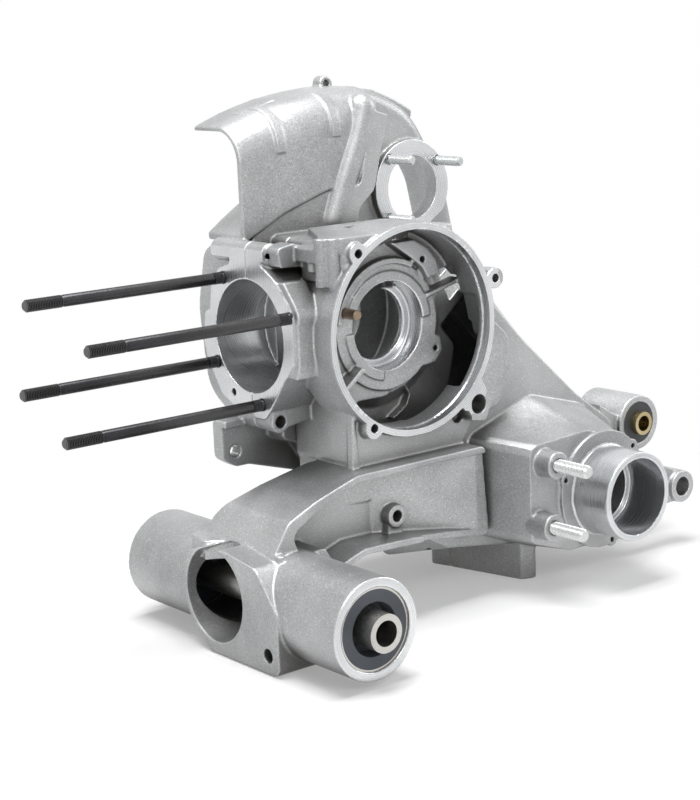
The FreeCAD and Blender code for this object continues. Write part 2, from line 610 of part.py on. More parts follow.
def fan_housing():
    """Scroll round the flywheel, open on its far side, and its front duct."""
    depth = size("fan_far") - size("fan_wall_y")
    fan_out = rounded_body("fan_out", FAN, "fan_wall_y", "fan_far - fan_wall_y", 8, -100)
    fan_in = prism("fan_in", inset(FAN, size("fan_wall")), "Y", "fan_wall_y + wall", "fan_far - fan_wall_y")
    inner = [(-66, 55, 0), (-66, 140, 0), (34, 141, 8), (21, 81, 2), (0, 81, 40), (-34, 70, 40)]
    duct_out = duct_space("duct_out", DUCT, "duct_wall_y", 0)
    duct_in = duct_space("duct_in", inner, "duct_wall_y + fan_wall", size("fan_wall"))
    return [fan_out, duct_out], [fan_in, duct_in]


def duct_space(name, points, start, less):
    """A space with an arched cross-section whose top climbs to the rear."""
    radius = size("duct_round") - less
    near = size("duct_wall_y") + less
    sections = []
    for x, far, far_low, top in ((-size("duct_front") - less, 118, 107, 117), (-20, 123, 121, 129.5), (42, 125, 125, 135)):
        corners = [(far_low + less, 40, 0), (far + less, top - less, 0), (near, top - less, radius), (near, 40, 0)]
        sections.append((x, corners))
    arch = loft(name + "_arch", "X", sections, flats=False)
    arch.Ruled = False
    item = doc.addObject("Part::Common", name)
    item.Base = arch
    item.Tool = prism(name + "_plan", points, "Y", start, "fan_far - duct_wall_y")
    return item


def rounded_body(name, points, start, length, radius, above):
    """A prism along Y whose near edge is rounded where it is above a height."""
    body = prism(name + "_prism", points, "Y", start, length)
    doc.recompute()
    near = worth(start)
    edges = [i for i, edge in enumerate(body.Shape.Edges, start=1)
             if abs(edge.BoundBox.YMin - near) < 1e-4 and abs(edge.BoundBox.YMax - near) < 1e-4
             and edge.CenterOfMass.z > above and edge.BoundBox.XLength > 1]
    return rounding(name, body, edges, radius)


def rounding(name, body, edges, radius):
    item = doc.addObject("Part::Fillet", name)
    item.Base = body
    item.Edges = [(i, radius, radius) for i in edges]
    return item


def flywheel_side_case():
    bosses, bolt_holes = case_bolts("far")
    gearbox = loft("gearbox_far", "Y", [("split_y", GEARBOX_SPLIT), ("gear_far", GEARBOX_FAR)])
    gear_hollow = loft("gear_hollow_far", "Y", [("split_y - 1", inset(GEARBOX_SPLIT, size("wall"))),
                                                ("gear_floor", inset(GEARBOX_FAR, size("wall")))])
    top = size("inlet_top") - 4
    crank_box = prism("crank_box_far", [(front, top, 4), (front - 9, -40, 4), (front - 9, -64, 4), (-20, low, 4),
                                        (40, low, 4), (64, -40, 10), (62, 22, 10), (30, top, 4)],
                      "Y", "split_y", "fan_wall_y + wall - split_y")
    fan_solids, fan_hollows = fan_housing()
    lining = [(60.5, -37, 0), (80, -37, 8), (97.5, -20, 12), (97.5, 20, 12), (80, 37, 8), (60.5, 37, 0)]
    flange = cylinder("starter_flange", "starter_r", "fan_wall_y - starter_near + wall",
                      ("starter_x", "starter_near", "starter_z"))
    foot = prism("rear_foot_far", [(70, 76, 3), (74, 60.5, 0), (88, 60.5, 0), (83, 78, 3)], "Z", "-rest_z", "30")
    outer = fuse("flywheel_outer", [gearbox, crank_box, flange, foot] + fan_solids + far_details()
                 + cylinder_face("far", MOUTH_FAR))
    opened = cut("flywheel_opened", outer, fuse("flywheel_hollow", [gear_hollow] + fan_hollows))
    shell = cylinder("crank_shell_far", "crank_r + wall", "fan_wall_y + wall - split_y", (0, "split_y", 0))
    seat = cylinder("far_boss", "bearing_r + 9", "10", (0, "fan_wall_y", 0))
    lined = fuse("flywheel_lined", [opened, shell, seat, prism("mouth_lining", MOUTH_FAR, "X", "-mouth_x", "20"),
                                    prism("spigot_lining", lining, "X", "-mouth_x", "mouth_x - 36")] + bosses)
    passes = fuse("flywheel_passes", [
        cylinder("crank_hollow_far", "crank_r", "crank_far - split_y + 1", (0, "split_y - 1", 0)),
        cylinder("bearing_seat_far", "bearing_r", "10", (0, "crank_far - 1", 0)),
        cylinder("bearing_pass_far", "bearing_pass_r", "60", (0, "crank_far - 1", 0)),
        cylinder("spigot_far", "spigot_r", "mouth_x - 37", ("-mouth_x - 1", "split_y", 0), "+X"),
        cylinder("starter_hole", "starter_hole_r", "60", ("starter_x", "starter_near - 1", "starter_z")),
        cylinder("drain_oil_hole", "2.2", "30", ("-mouth_x - 1", 78.6, -34.9), "+X"),
        prism("starter_flat", [(78.9, 43.3, 0), (101.8, 58.5, 0), (102, 40, 0)], "Y", "starter_near - 1", "5"),
        cylinder("bracket_hole", "3.6", "14", (-76.4, 73, -69.5)),
        cylinder("cowl_hole", "2.2", "12", (34, 115, 136.2)),
    ] + starter_holes() + stud_holes("far") + bolt_holes + dowel_holes("far"))
    return cut("flywheel_case", lined, passes)


def far_details():
    """Ridge, tabs and lugs on the outside of the air duct, and the front bracket."""
    ridge = [(33, 121, 0), (20.5, 79, 6), (9, 71, 8), (3, 49, 0), (13.5, 47, 0), (19.5, 64.5, 8), (31, 74, 6), (43, 118, 0)]
    bracket = [(-86, -50, 3), (-50, -50, 0), (-10, -80, 0), (-10, -96, 0), (-40, -87, 8), (-67, -79, 3), (-76, -79, 6),
               (-86, -73, 6)]
    return [
        prism("duct_ridge", ridge, "Y", "duct_wall_y - 3", "19"),
        prism("scroll_pad", [(42, 122, 0), (44, 134, 3), (64, 131, 10), (82, 123.5, 6), (95, 116.5, 2), (93, 110, 0),
                             (80, 108, 0)], "Y", "108", "17"),
        prism("duct_tab_front", [(-46, 118, 0), (-46, 123.6, 0), (-20, 130.6, 0), (-20, 118, 0)], "Y", "98", "21"),
        prism("duct_tab_rear", [(2, 124, 0), (2, 132.5, 0), (30, 135, 0), (30, 124, 0)], "Y", "101", "21"),
        cylinder("cowl_lug", "5", "8", (34, "fan_far - 8", 136.2)),
        prism("front_bracket", bracket, "Y", "76", "9"),
        box("front_channel", (-86, 72, -54), ("22", "9", "4")),
    ]


def starter_holes():
    return [cylinder("starter_stud_hole_%d" % i, "starter_stud_r", "starter_stud_grip + 1",
                     ("starter_x + %g" % x, "starter_near - 1", "starter_z + %g" % z))
            for i, (x, z) in enumerate(STARTER_STUDS)]


def stud_profile(radius, length, relief=None):
    """A stud with bevelled ends and a thread relief, from its screwed-in end."""
    groove = []
    if relief is not None:
        groove = [(radius, relief), (radius + " - 0.4", relief), (radius + " - 0.4", relief + " + 1.2"),
                  (radius, relief + " + 1.2")]
    return [("0", "0"), (radius + " - 0.8", "0"), (radius, "0.8")] + groove + [
        (radius, length + " - 0.8"), (radius + " - 0.8", length), ("0", length)]


def ring_profile(outer, inner, length):
    return [(inner, "0"), (outer, "0"), (outer, length), (inner, length)]


def fasteners():
    for i, (y, z) in enumerate(STUD_PLACES):
        turned("cylinder_stud_%d" % (i + 1), stud_profile("stud_r", "stud_reach + stud_grip", "stud_grip + 5.8"),
               ("-mouth_x + stud_grip", y, z), "-X")
    for i, (x, z) in enumerate(BRAKE_STUDS):
        turned("brake_stud_%d" % (i + 1),
               stud_profile("brake_stud_r", "brake_stud_reach + brake_stud_grip", "brake_stud_reach - 2"),
               (x, "-brake_near - brake_boss_height - brake_stud_reach", z))
    for i, (x, z) in enumerate(STARTER_STUDS):
        turned("starter_stud_%d" % (i + 1), stud_profile("starter_stud_r", "starter_stud_reach + starter_stud_grip"),
               ("starter_x + %g" % x, "starter_near - starter_stud_reach", "starter_z + %g" % z))
    turned("locating_pin", stud_profile("pin_r", "pin_length"), (PIN_PLACE[0], "pin_tip_y", PIN_PLACE[1]))
    for i, (x, z) in enumerate(DOWELS):
        turned("joint_dowel_%d" % (i + 1), ring_profile("dowel_r", "dowel_r - 1.1", "dowel_length"),
               (x, "split_y - dowel_length*0.5", z))


def pivot_bushes():
    starts = {"near": "-tube_near + bush_inset", "far": "tube_length - tube_near - bush_inset - bush_length"}
    sleeves = {"near": "-tube_near - sleeve_proud", "far": "tube_length - tube_near - bush_inset - bush_length"}
    for side, start in starts.items():
        turned("bush_outer_sleeve_" + side, ring_profile("tube_bore_r", "tube_bore_r - bush_shell", "bush_length"),
               ("-tube_x", start, "-tube_z"))
        turned("bush_rubber_" + side, rubber_profile(side), ("-tube_x", start, "-tube_z"))
        turned("bush_inner_sleeve_" + side,
               ring_profile("sleeve_r", "sleeve_bore_r", "bush_length + bush_inset + sleeve_proud"),
               ("-tube_x", sleeves[side], "-tube_z"))
    turned("pivot_spacer_tube",
           ring_profile("sleeve_r - 0.6", "sleeve_bore_r", "tube_length - bush_length*2 - bush_inset*2"),
           ("-tube_x", "-tube_near + bush_inset + bush_length", "-tube_z"))


def rubber_profile(side):
    """Rubber ring with a ring hollow round the sleeve in its outer end."""
    outer = "tube_bore_r - bush_shell"
    if side == "near":
        return [("bush_hollow_r", "0"), (outer, "0"), (outer, "bush_length"), ("sleeve_r", "bush_length"),
                ("sleeve_r", "11"), ("bush_hollow_r - 1", "9")]
    return [("sleeve_r", "0"), (outer, "0"), (outer, "bush_length"), ("bush_hollow_r", "bush_length"),
            ("bush_hollow_r - 1", "bush_length - 9"), ("sleeve_r", "bush_length - 11")]


def shock_bush():
    turned("shock_rubber", ring_profile("eye_bore_r", "eye_sleeve_r", "eye_length - 1"),
           ("eye_x", "eye_near + 0.5", "-eye_z"))
    turned("shock_sleeve", ring_profile("eye_sleeve_r", "eye_bolt_r", "eye_length + eye_sleeve_proud*2"),
           ("eye_x", "eye_near - eye_sleeve_proud", "-eye_z"))


def check_document():
    for item in doc.Objects:
        if "Invalid" in item.State or "Error" in item.State:
            raise RuntimeError("%s failed: %s" % (item.Name, item.State))


def export(nodes):
    os.makedirs("parts", exist_ok=True)
    for label, item in nodes.items():
        shape = item.Shape
        if shape.isNull() or not shape.isValid():
            raise RuntimeError(label + " has no valid shape")
        shape.exportStep("parts/%s.step" % label)
        print("%-26s solids %d  volume %10.0f mm3" % (label, len(shape.Solids), shape.Volume))


castings = {"clutch_side_case": clutch_side_case(), "flywheel_side_case": flywheel_side_case()}
for label, item in castings.items():
    item.Label = label
fasteners()
pivot_bushes()
shock_bush()
doc.recompute()
check_document()
bodies = {item.Label: item for item in doc.Objects if item.TypeId == "PartDesign::Body"}
export({**castings, **bodies})
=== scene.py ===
import math

import bmesh
import bpy
from mathutils import Matrix, Vector


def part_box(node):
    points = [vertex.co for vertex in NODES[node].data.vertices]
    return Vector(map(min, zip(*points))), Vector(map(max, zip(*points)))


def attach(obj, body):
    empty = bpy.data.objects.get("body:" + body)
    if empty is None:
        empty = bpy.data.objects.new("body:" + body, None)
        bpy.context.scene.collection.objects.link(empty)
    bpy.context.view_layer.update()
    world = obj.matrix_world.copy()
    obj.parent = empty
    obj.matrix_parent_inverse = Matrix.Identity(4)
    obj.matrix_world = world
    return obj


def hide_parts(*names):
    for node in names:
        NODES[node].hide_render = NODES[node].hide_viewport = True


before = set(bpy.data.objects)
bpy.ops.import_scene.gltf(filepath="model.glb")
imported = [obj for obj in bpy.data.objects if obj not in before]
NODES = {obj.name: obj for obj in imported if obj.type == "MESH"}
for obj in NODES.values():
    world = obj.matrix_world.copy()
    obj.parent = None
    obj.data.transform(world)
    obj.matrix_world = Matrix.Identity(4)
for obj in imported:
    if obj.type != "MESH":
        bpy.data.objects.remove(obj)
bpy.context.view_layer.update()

MM = 0.001

# The photograph's own viewpoint, solved from its round faces and parallel edges
CAMERA_PLACE = (-0.6871, -0.8088, 0.1838)
CAMERA_FORWARD = (0.6057, 0.7687, -0.2057)
CAMERA_UP = (0.1593, 0.1361, 0.9778)
LENS_LENGTH = 84.8
SENSOR_WIDTH = 36.0
CLIP_END = 20.0

# The floor takes the part's shadow near its middle and is plain white further out
FLOOR_HEIGHT = -170.0 * MM
FLOOR_RADIUS = 9.0
FLOOR_PAINT = (0.93, 0.93, 0.93, 1)
FLOOR_MIDDLE = (0.02, 0.02, FLOOR_HEIGHT)
SHADOW_FULL = 0.15
SHADOW_GONE = 0.42
SHADOW_WHITENESS = 0.3

# How bright the white surroundings are as a light; where they are seen they are plain white
WORLD_LIGHT = 0.22

# Name, place, width, height and power of each lamp; all of them look at the middle of the part
LAMP_TARGET = (0.03, 0.03, -0.03)
LAMPS = [
    ("top_softbox", (-0.15, 0.05, 1.2), 0.6, 0.8, 21),
    ("front_softbox", (-0.5, -1.2, 0.8), 0.4, 0.4, 4.5),
    ("rear_softbox", (1.2, -0.3, 0.6), 0.3, 0.9, 4),
]

# What the masks lay over a colour, and how strongly: painted shade in the hollows and corners, and paler
# edges that are partly rubbed wear and partly a painted highlight
CAST_WEAR_AND_SHADE = [
    ("Hollows", (0.10, 0.095, 0.085), 0.85),
    ("Corners", (0.14, 0.135, 0.125), 0.6),
    ("Edges", (0.80, 0.81, 0.82), 0.55),
]
# The same for cut aluminium: painted shade in hollows and corners, and edges paler as wear and as a painted
# highlight
MACHINED_WEAR_AND_SHADE = [
    ("Hollows", (0.2, 0.2, 0.2), 0.6),
    ("Corners", (0.25, 0.25, 0.25), 0.6),
    ("Edges", (0.86, 0.86, 0.87), 0.7),
]

# Depth of the relief on cast and on cut metal, and how many rings a cutter leaves in a metre
SKIN_DEPTH = 0.2 * MM
CUT_DEPTH = 0.1 * MM
RING_COUNT = 2600.0

# How a casting is melted: the seams joined first, the cells, the softening and the most triangles it keeps
SEAM_GAP = 0.01 * MM
CASTING_VOXEL = 0.7 * MM
SOFTENING_STEPS = 4
CASTING_TRIANGLES = 190000

# Lengths are in millimetres from here on.
# Axes along Y as (x, z), the radii turned round them, and where along Y their faces and hollows lie
CRANK = (0, 0)
CLUTCH_BORE = 57.6
COVER_RIM = 70
COVER_DEPTH = 6.5
BEARING_LIP = 26.7
BEARING_SPAN = (20, 38)
HUB = (123.1, -112.4)
HUB_BORE = 23.5
HUB_FACE = 28.6
HUB_ROOT = -24
TUBE = (-97.9, -137.5)
TUBE_FACE = 29
TUBE_ENDS = (-74.9, 121.9)
STARTER = (71.7, 71.0)
STARTER_BORE = 19.7
STARTER_RIM = 30
STARTER_FLANGE = 83

# The cylinder's axis along X as (y, z), its face and its spigot bore; the finish reaches a little further
CYLINDER_MIDDLE = (60.5, 0)
CYLINDER_FACE = -73.7
CYLINDER_PAD = 60
SPIGOT_BORE = 33.0
SPIGOT_SPAN = (-73.9, -38)
SPIGOT_FINISH = (-74, -37)

# Centre (x, z), radius, and where along Y each turned bore starts and ends
BORES_ALONG_Y = [
    (CRANK, CLUTCH_BORE, -1, 6.2),
    (HUB, HUB_BORE, -57, -26),
    (STARTER, STARTER_BORE, 82, 93),
]

# Centre (x, z), inner and outer radius, and the height of each cut face along Y
FACES_ACROSS_Y = [
    (CRANK, CLUTCH_BORE, 72, 0),
    (STARTER, STARTER_BORE, 32, STARTER_FLANGE),
]

# How far a point may lie off its true place to be put back, and how a cut face is told from the cast skin
TRUE_REACH = 0.55
BORE_REACH = 0.5
FACE_REACH = 0.3
FLANGE_REACH = 0.4
FACING = 0.7

# The finishes of a casting, in the order of its materials
CAST_SKIN, CLUTCH_RIM, CYLINDER_CUT, HUB_CUT, TUBE_CUT, STARTER_CUT = range(6)

# The arm's pocket: where along X, how deep its back wall lies, and its upper and lower edge
ARM_POCKET = [
    (-62, 18, -82.5, -122),
    (-50, 18, -79.5, -118.3),
    (-22, 17, -79, -118.8),
    (-15, 14, -79, -119.2),
    (18, 5, -79, -122.5),
    (38, -2, -79.5, -125),
    (46, -5.5, -80, -126),
]
ARM_MOUTH = -9
ARM_LUG = (-12, -109)
ARM_LUG_HOLE = 3.4

# The rounded column on the air duct, from its top to the scroll
DUCT_COLUMN = [(29, 78, 122), (22.6, 78, 104), (12.5, 78, 82), (3, 79, 58)]
SCROLL_RADIUS = 78

# Sides of a round form, and the angle in degrees from which an edge of a turned piece is crisp
ROUND_STEPS = 40
CRISP_ANGLE = 40

CYLINDER_STUDS = ["cylinder_stud_1", "cylinder_stud_2", "cylinder_stud_3", "cylinder_stud_4"]

# Radii of the long studs: crest and root of the thread, plain shank, relief groove and chamfered tip
STUD_CREST = 3.5
STUD_ROOT = 3.0
STUD_SHANK = 3.4
STUD_GROOVE = 3.1
STUD_TIP = 2.3
STUD_PITCH = 1.0
SHORT_THREAD_DEPTH = 0.45


# Camera, floor and lamps

def add_camera():
    data = bpy.data.cameras.new("photo_camera")
    data.lens = LENS_LENGTH
    data.sensor_width = SENSOR_WIDTH
    data.clip_end = CLIP_END
    camera = bpy.data.objects.new("photo_camera", data)
    forward = Vector(CAMERA_FORWARD).normalized()
    right = forward.cross(Vector(CAMERA_UP)).normalized()
    up = right.cross(forward)
    turn = Matrix((right, up, -forward)).transposed().to_4x4()
    camera.matrix_world = Matrix.Translation(CAMERA_PLACE) @ turn
    bpy.context.scene.collection.objects.link(camera)
    bpy.context.scene.camera = camera


def add_lamp(name, place, width, height, power):
    data = bpy.data.lights.new(name, "AREA")
    data.shape = "RECTANGLE"
    data.size = width
    data.size_y = height
    data.energy = power
    lamp = bpy.data.objects.new(name, data)
    lamp.location = place
    lamp.rotation_euler = (Vector(LAMP_TARGET) - Vector(place)).to_track_quat("-Z", "Y").to_euler()
    bpy.context.scene.collection.objects.link(lamp)


def object_from(bm, name):
    """A new object in the scene with the shape of a bmesh, which is freed."""
    mesh = bpy.data.meshes.new(name)
    bm.to_mesh(mesh)
    bm.free()
    made = bpy.data.objects.new(name, mesh)
    bpy.context.scene.collection.objects.link(made)
    return made


def add_floor():
    bm = bmesh.new()
    bmesh.ops.create_circle(bm, cap_ends=True, segments=96, radius=FLOOR_RADIUS)
    bmesh.ops.translate(bm, verts=bm.verts, vec=(0, 0, FLOOR_HEIGHT))
    floor = object_from(bm, "studio_floor")
    floor.data.materials.append(floor_paint())


def floor_paint():
    """Matt near the part, where its shadow falls, and glowing plain white further out."""
    material, tree, matt = new_material("studio_floor")
    fill_inputs(tree, matt, {"Base Color": FLOOR_PAINT, "Roughness": 0.9, "Specular IOR Level": 0.1})
    where = node(tree, "ShaderNodeTexCoord").outputs["Object"]
    offset = [-distance for distance in FLOOR_MIDDLE]
    middle = node(tree, "ShaderNodeMapping", {"Vector": where, "Location": offset})
    reach = node(tree, "ShaderNodeVectorMath", {0: middle.outputs["Vector"]}, operation="LENGTH")
    fade = node(tree, "ShaderNodeMapRange", {
        "Value": reach.outputs["Value"],
        "From Min": SHADOW_FULL,
        "From Max": SHADOW_GONE,
        "To Min": SHADOW_WHITENESS,
        "To Max": 1.0,
    }, interpolation_type="SMOOTHSTEP")
    seen = scaled(tree, background_rays(tree), fade.outputs["Result"])
    white = node(tree, "ShaderNodeEmission").outputs["Emission"]
    mix = node(tree, "ShaderNodeMixShader", {"Fac": seen, 1: matt.outputs["BSDF"], 2: white})
    tree.links.new(mix.outputs["Shader"], tree.nodes["Material Output"].inputs["Surface"])
    return material


def background_rays(tree):
    """One for the rays that show the background: to the camera, in a reflection or through glass."""
    paths = node(tree, "ShaderNodeLightPath").outputs
    total = paths["Is Camera Ray"]
    for kind in ("Is Glossy Ray", "Is Transmission Ray"):
        both = node(tree, "ShaderNodeMath", {0: total, 1: paths[kind]}, operation="ADD", use_clamp=True)
        total = both.outputs["Value"]
    return total


def set_world():
    world = bpy.data.worlds.new("studio")
    bpy.context.scene.world = world
    world.use_nodes = True
    tree = world.node_tree
    inputs = {"Value": background_rays(tree), "To Min": WORLD_LIGHT, "To Max": 1.0}
    strength = node(tree, "ShaderNodeMapRange", inputs).outputs["Result"]
    fill_inputs(tree, tree.nodes["Background"], {"Color": (1, 1, 1, 1), "Strength": strength})


def light_part():
    bpy.context.scene.view_settings.view_transform = "Standard"
    for lamp in LAMPS:
        add_lamp(*lamp)


# Shader nodes, and the groups that the finishes share

def node(tree, kind, inputs=None, **settings):
    """A new shader node; its settings come first, because some decide which inputs it has."""
    made = tree.nodes.new(kind)
    for key, value in settings.items():
        setattr(made, key, value)
    fill_inputs(tree, made, inputs or {})
    return made


def fill_inputs(tree, made, values):
    """Sets inputs to plain values, and links those whose value is the output of another node."""
    for key, value in values.items():
        if isinstance(value, bpy.types.NodeSocket):
            tree.links.new(value, made.inputs[key])
        else:
            made.inputs[key].default_value = value


def new_group(name, inputs, outputs):
    tree = bpy.data.node_groups.new(name, "ShaderNodeTree")
    for label, kind, value in inputs:
        socket = tree.interface.new_socket(label, in_out="INPUT", socket_type=kind)
        socket.default_value = value
    for label in outputs:
        tree.interface.new_socket(label, in_out="OUTPUT", socket_type="NodeSocketFloat")
    return tree, tree.nodes.new("NodeGroupInput").outputs, tree.nodes.new("NodeGroupOutput")


def place_group(tree, group, **values):
    """The outputs of a group placed in a material; an underscore in a name stands for a space."""
    inputs = {key.replace("_", " "): value for key, value in values.items()}
    return node(tree, "ShaderNodeGroup", inputs, node_tree=group).outputs


def cast_skin_group():
    """Shot-like speckle of a die-cast skin, a random shade for each grain, and broad cloudy patches."""
    tree, entry, result = new_group(
        "cast_skin",
        [("Grain Size", "NodeSocketFloat", 900.0), ("Patch Size", "NodeSocketFloat", 22.0)],
        ["Speckle", "Dots", "Patches", "Height"],
    )
    where = node(tree, "ShaderNodeTexCoord").outputs["Object"]
    grain = noise(tree, where, entry["Grain Size"], detail=3.0, roughness=0.65)
    coarse = noise(tree, where, 260.0, detail=2.0, roughness=0.5)
    patches = noise(tree, where, entry["Patch Size"], detail=4.0, roughness=0.55)
    dots = node(tree, "ShaderNodeTexVoronoi", {"Vector": where, "Scale": entry["Grain Size"]}, feature="F1")
    shade = node(tree, "ShaderNodeSeparateColor", {"Color": dots.outputs["Color"]})
    height = node(tree, "ShaderNodeMath", {0: coarse, 1: 0.6, 2: grain}, operation="MULTIPLY_ADD")
    fill_inputs(tree, result, {
        "Speckle": grain,
        "Dots": shade.outputs["Red"],
        "Patches": patches,
        "Height": height.outputs["Value"],
    })
    return tree


def wear_and_painted_shade_group():
    """Masks of the outer edges, of the inner corners and of the shut-in hollows; the finishes darken the
    corners and hollows as painted shade, and make the edges paler as rubbed wear and, on aluminium, as a
    painted highlight.
    """
    tree, entry, result = new_group(
        "wear_and_painted_shade",
        [("Edge Width", "NodeSocketFloat", 0.06), ("Corner Width", "NodeSocketFloat", 0.08)],
        ["Edges", "Corners", "Hollows"],
    )
    # The hollows mask reads how little of the surroundings a point sees; the darkening laid with it is
    # painted shade
    sky = node(tree, "ShaderNodeAmbientOcclusion", {"Distance": 0.035}, samples=8).outputs["AO"]
    shut_in = node(tree, "ShaderNodeMapRange", {"Value": sky, "From Min": 0.7, "From Max": 0.15})
    bend = node(tree, "ShaderNodeNewGeometry").outputs["Pointiness"]
    fill_inputs(tree, result, {
        "Edges": bend_mask(tree, bend, 0.51, entry["Edge Width"], 1),
        "Corners": bend_mask(tree, bend, 0.49, entry["Corner Width"], -1),
        "Hollows": shut_in.outputs["Result"],
    })
    return tree


def bend_mask(tree, bend, start, width, sign):
    """A mask that sets in at a bend of start and is full one width further on, up or down."""
    full = node(tree, "ShaderNodeMath", {0: width, 1: sign, 2: start}, operation="MULTIPLY_ADD")
    steps = {"Value": bend, "From Min": start, "From Max": full.outputs["Value"]}
    return node(tree, "ShaderNodeMapRange", steps, interpolation_type="SMOOTHSTEP").outputs["Result"]


def turning_marks_group():
    """Fine rings that a cutter leaves round an axis parallel to Y."""
    tree, entry, result = new_group(
        "turning_marks",
        [("Centre", "NodeSocketVector", (0, 0, 0)), ("Ring Count", "NodeSocketFloat", RING_COUNT)],
        ["Rings"],
    )
    where = node(tree, "ShaderNodeTexCoord").outputs["Object"]
    away = node(tree, "ShaderNodeVectorMath", {0: where, 1: entry["Centre"]}, operation="SUBTRACT")
    inputs = {0: away.outputs["Vector"], 1: (1, 0, 1)}
    across = node(tree, "ShaderNodeVectorMath", inputs, operation="MULTIPLY")
    reach = node(tree, "ShaderNodeVectorMath", {0: across.outputs["Vector"]}, operation="LENGTH")
    along = node(tree, "ShaderNodeSeparateXYZ", {"Vector": away.outputs["Vector"]})
    both = node(tree, "ShaderNodeMath", {0: reach.outputs["Value"], 1: along.outputs["Y"]}, operation="ADD")
    inputs = {"W": both.outputs["Value"], "Scale": entry["Ring Count"], "Detail": 2.0}
    rings = node(tree, "ShaderNodeTexNoise", inputs, noise_dimensions="1D")
    fill_inputs(tree, result, {"Rings": rings.outputs["Fac"]})
    return tree


def noise(tree, where, scale, detail, roughness):
    inputs = {"Vector": where, "Scale": scale, "Detail": detail, "Roughness": roughness}
    return node(tree, "ShaderNodeTexNoise", inputs).outputs["Fac"]


def blend_colours(tree, factor, dark, light, low=0.35, high=0.65):
    """A colour between two, read from a mask spread over low to high."""
    ramp = node(tree, "ShaderNodeValToRGB", {"Fac": factor})
    for element, place, colour in zip(ramp.color_ramp.elements, (low, high), (dark, light)):
        element.position = place
        element.color = (*colour, 1)
    return ramp.outputs["Color"]


def grey(value):
    return (value, value, value)


def lay_over(tree, mode, under, over, amount):
    """One colour laid over another; over and amount are plain values or outputs of other nodes."""
    if isinstance(over, tuple):
        over = (*over, 1)
    inputs = {"A": under, "B": over, "Factor": amount}
    return node(tree, "ShaderNodeMix", inputs, data_type="RGBA", blend_type=mode).outputs["Result"]


# Lays colours over a colour through the masks: painted shade in hollows and corners, paler edges as wear and
# painted highlight, or rubbed edges alone
def lay_wear_and_shade(tree, colour, masks, layers):
    for mask, over, amount in layers:
        colour = lay_over(tree, "MIX", colour, over, scaled(tree, masks[mask], amount))
    return colour


def spread(tree, factor, low, high):
    """The usual range of a noise, stretched to run from low to high."""
    inputs = {"Value": factor, "From Min": 0.3, "From Max": 0.7, "To Min": low, "To Max": high}
    return node(tree, "ShaderNodeMapRange", inputs).outputs["Result"]


def scaled(tree, value, amount):
    return node(tree, "ShaderNodeMath", {0: value, 1: amount}, operation="MULTIPLY").outputs["Value"]


def relief(tree, height, strength, distance, under=None):
    inputs = {"Strength": strength, "Distance": distance, "Height": height}
    if under:
        inputs["Normal"] = under
    return node(tree, "ShaderNodeBump", inputs).outputs["Normal"]


# Finishes

def new_material(name):
    material = bpy.data.materials.new(name)
    material.use_nodes = True
    return material, material.node_tree, material.node_tree.nodes["Principled BSDF"]


def cast_aluminium(skin, wear_and_shade):
    """Tumbled die-cast aluminium: grey and speckled, with painted glints; its edges are paler as rubbed wear
    and as a painted highlight, and its corners and hollows carry painted shade.
    """
    material, tree, shader = new_material("cast_aluminium")
    texture = place_group(tree, skin, Grain_Size=1500.0, Patch_Size=16.0)
    masks = place_group(tree, wear_and_shade, Edge_Width=0.08, Corner_Width=0.1)
    colour = blend_colours(tree, texture["Patches"], (0.36, 0.365, 0.37), (0.53, 0.535, 0.54))
    grain = blend_colours(tree, texture["Speckle"], grey(0.5), grey(1.35), 0.25, 0.75)
    colour = lay_over(tree, "MULTIPLY", colour, grain, 0.85)
    # Painted glints: a few grains of the skin are made paler, as sparkle
    painted_glints = blend_colours(tree, texture["Dots"], grey(0), grey(0.14), 0.96, 0.98)
    colour = lay_over(tree, "ADD", colour, painted_glints, 1.0)
    fill_inputs(tree, shader, {
        # The colour takes painted shade in its hollows and corners, and paler edges that are rubbed wear and
        # a painted highlight
        "Base Color": lay_wear_and_shade(tree, colour, masks, CAST_WEAR_AND_SHADE),
        "Roughness": spread(tree, texture["Speckle"], 0.34, 0.5),
        "Normal": relief(tree, texture["Height"], 0.6, SKIN_DEPTH),
        "Metallic": 0.8,
    })
    return material


def machined_aluminium(name, skin, wear_and_shade, turning, centre, ring_count=RING_COUNT):
    """Bright cut aluminium with the rings of the cutter round its own axis."""
    material, tree, shader = new_material(name)
    texture = place_group(tree, skin, Grain_Size=500.0, Patch_Size=30.0)
    marks = place_group(tree, turning, Centre=centre, Ring_Count=ring_count)
    masks = place_group(tree, wear_and_shade, Edge_Width=0.07, Corner_Width=0.09)
    colour = blend_colours(tree, texture["Patches"], (0.60, 0.615, 0.63), (0.74, 0.75, 0.76))
    lines = blend_colours(tree, marks["Rings"], grey(0.8), grey(1.08), 0.3, 0.7)
    colour = lay_over(tree, "MULTIPLY", colour, lines, 0.7)
    grain = relief(tree, texture["Height"], 0.1, CUT_DEPTH)
    fill_inputs(tree, shader, {
        # The colour takes painted shade in its hollows and corners, and paler edges that are wear and a
        # painted highlight
        "Base Color": lay_wear_and_shade(tree, colour, masks, MACHINED_WEAR_AND_SHADE),
        "Roughness": spread(tree, marks["Rings"], 0.2, 0.34),
        "Normal": relief(tree, marks["Rings"], 0.12, CUT_DEPTH, grain),
        "Metallic": 0.9,
    })
    return material


